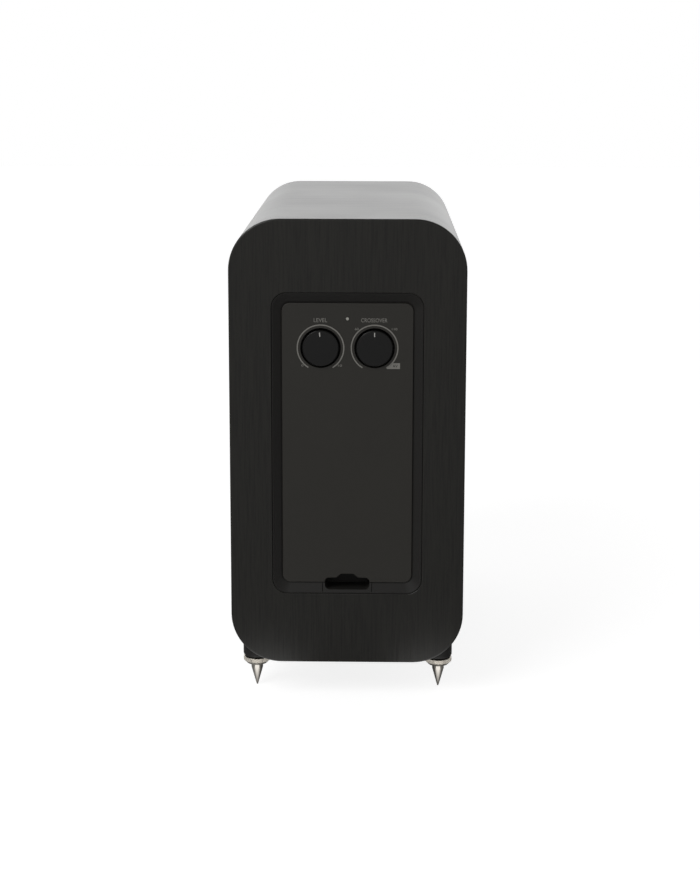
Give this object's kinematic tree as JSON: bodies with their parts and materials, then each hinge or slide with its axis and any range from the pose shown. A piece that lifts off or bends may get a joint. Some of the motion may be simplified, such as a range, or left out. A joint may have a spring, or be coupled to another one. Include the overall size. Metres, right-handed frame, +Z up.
{
  "type": "subwoofer",
  "caption": "Slim upright powered subwoofer with round-edged black cabinet, rear dials and removable cable cover, side driver behind a round cloth grille, on adjustable spikes.",
  "frame": {"origin": "on the floor under the middle of the cabinet, level with the spike tips", "axes": "+Z up, -Y out of the rear face with the dials, +Y out of the plain front, -X out of the driver side"},
  "size_m": [0.202, 0.38, 0.423],
  "materials": {
    "satin_black_lacquer": "satin black lacquer on MDF",
    "raw_mdf": "bare MDF",
    "polyester_wadding": "bonded polyester fibre",
    "black_abs_tray": "finely textured moulded ABS",
    "charcoal_abs_cover": "satin moulded ABS",
    "black_switch_plastic": "moulded nylon",
    "black_knob_abs": "satin moulded ABS",
    "closed_cell_foam": "closed-cell foam",
    "zinc_plated_steel": "zinc plate",
    "black_oxide_steel": "black oxide",
    "nickel_plated_steel": "satin nickel plate",
    "brass": "turned brass",
    "die_cast_aluminium": "bare",
    "anodised_aluminium": "black anodised",
    "clear_acrylic": "clear acrylic",
    "green_circuit_board": "solder mask on glass-fibre laminate",
    "transformer_tape": "taped ferrite core",
    "capacitor_sleeve": "shrunk PVC sleeve",
    "red_pvc": "PVC insulation",
    "black_pvc": "PVC insulation",
    "painted_basket_steel": "black powder coat on pressed steel",
    "ferrite": "sintered ferrite",
    "spider_cloth": "resin-dipped cotton",
    "copper_winding": "enamelled copper wire",
    "cone_paper": "black pressed paper",
    "cap_paper": "black pressed paper",
    "butyl_rubber": "moulded butyl rubber",
    "fibre_board": "vulcanised fibre",
    "black_grille_plastic": "moulded ABS",
    "black_grille_cloth": "knitted polyester",
    "black_foot_rubber": "moulded rubber"
  },
  "bodies": {
    "cabinet": {"amp_tray": "black_abs_tray", "board_screws": "zinc_plated_steel", "board_standoffs": "brass", "brace_frames": "raw_mdf", "cabinet_sleeve": "satin_black_lacquer", "control_board": "green_circuit_board", "damping_wadding": "polyester_wadding", "driver_baffle": "raw_mdf", "driver_basket": "painted_basket_steel", "driver_lead_negative": "black_pvc", "driver_lead_positive": "red_pvc", "driver_screws": "black_oxide_steel", "foot_inserts": "brass", "foot_pods": "black_foot_rubber", "front_panel": "satin_black_lacquer", "grille_strikers": "zinc_plated_steel", "heatsink": "anodised_aluminium", "led_light_pipe": "clear_acrylic", "line_socket_cores": "black_switch_plastic", "line_socket_shells": "nickel_plated_steel", "lock_rings": "nickel_plated_steel", "magnet_ring": "ferrite", "main_board": "green_circuit_board", "mains_inlet": "black_switch_plastic", "mains_pins": "nickel_plated_steel", "potentiometers": "die_cast_aluminium", "power_transformer": "transformer_tape", "rear_panel": "satin_black_lacquer", "rocker_housing": "black_switch_plastic", "slide_switch_bodies": "black_switch_plastic", "smoothing_capacitors": "capacitor_sleeve", "spider": "spider_cloth", "striker_plates": "zinc_plated_steel", "surround": "butyl_rubber", "terminal_block": "fibre_board", "top_plate": "zinc_plated_steel", "tray_gasket": "closed_cell_foam", "tray_screws": "zinc_plated_steel", "yoke": "zinc_plated_steel"},
    "level_dial": {"level_shaft": "die_cast_aluminium", "level_knob": "black_knob_abs"},
    "crossover_dial": {"crossover_shaft": "die_cast_aluminium", "crossover_knob": "black_knob_abs"},
    "power_switch": {"power_rocker": "black_switch_plastic"},
    "mode_switch": {"mode_slider": "black_switch_plastic"},
    "phase_switch": {"phase_slider": "black_switch_plastic"},
    "rear_cover": {"cover_plate": "charcoal_abs_cover", "cover_magnets": "nickel_plated_steel"},
    "grille": {"grille_frame": "black_grille_plastic", "grille_cloth": "black_grille_cloth", "grille_magnets": "nickel_plated_steel"},
    "moving_cone": {"cone": "cone_paper", "coil_former": "die_cast_aluminium", "voice_coil": "copper_winding", "dust_cap": "cap_paper"},
    "spike_rear_left": {"spike_rear_left": "nickel_plated_steel"},
    "spike_rear_right": {"spike_rear_right": "nickel_plated_steel"},
    "spike_front_left": {"spike_front_left": "nickel_plated_steel"},
    "spike_front_right": {"spike_front_right": "nickel_plated_steel"}
  },
  "joints": [
    {"name": "level_turn", "type": "hinge", "parent": "cabinet", "child": "level_dial", "pos_m": [-0.023, -0.18, 0.3124], "axis": [0, 1, 0], "range_deg": [-145, 151]},
    {"name": "crossover_turn", "type": "hinge", "parent": "cabinet", "child": "crossover_dial", "pos_m": [0.023, -0.18, 0.3124], "axis": [0, 1, 0], "range_deg": [-148, 148]},
    {"name": "power_rock", "type": "hinge", "parent": "cabinet", "child": "power_switch", "pos_m": [-0.022, -0.1236, 0.176], "axis": [1, 0, 0], "range_deg": [0, 20]},
    {"name": "mode_slide", "type": "slide", "parent": "cabinet", "child": "mode_switch", "axis": [1, 0, 0], "range_m": [-0.002, 0.002]},
    {"name": "phase_slide", "type": "slide", "parent": "cabinet", "child": "phase_switch", "axis": [1, 0, 0], "range_m": [0, 0.003]},
    {"name": "cover_lift", "type": "slide", "parent": "cabinet", "child": "rear_cover", "axis": [0, -1, 0], "range_m": [0, 0.05]},
    {"name": "grille_lift", "type": "slide", "parent": "cabinet", "child": "grille", "axis": [-1, 0, 0], "range_m": [0, 0.05]},
    {"name": "cone_travel", "type": "slide", "parent": "cabinet", "child": "moving_cone", "axis": [-1, 0, 0], "range_m": [-0.006, 0.006], "stiffness_N_per_m": 2000, "deforming": ["surround", "spider"]},
    {"name": "rear_left_adjust", "type": "slide", "parent": "cabinet", "child": "spike_rear_left", "axis": [0, 0, -1], "range_m": [0, 0.006]},
    {"name": "rear_right_adjust", "type": "slide", "parent": "cabinet", "child": "spike_rear_right", "axis": [0, 0, -1], "range_m": [0, 0.006]},
    {"name": "front_left_adjust", "type": "slide", "parent": "cabinet", "child": "spike_front_left", "axis": [0, 0, -1], "range_m": [0, 0.006]},
    {"name": "front_right_adjust", "type": "slide", "parent": "cabinet", "child": "spike_front_right", "axis": [0, 0, -1], "range_m": [0, 0.006]}
  ]
}
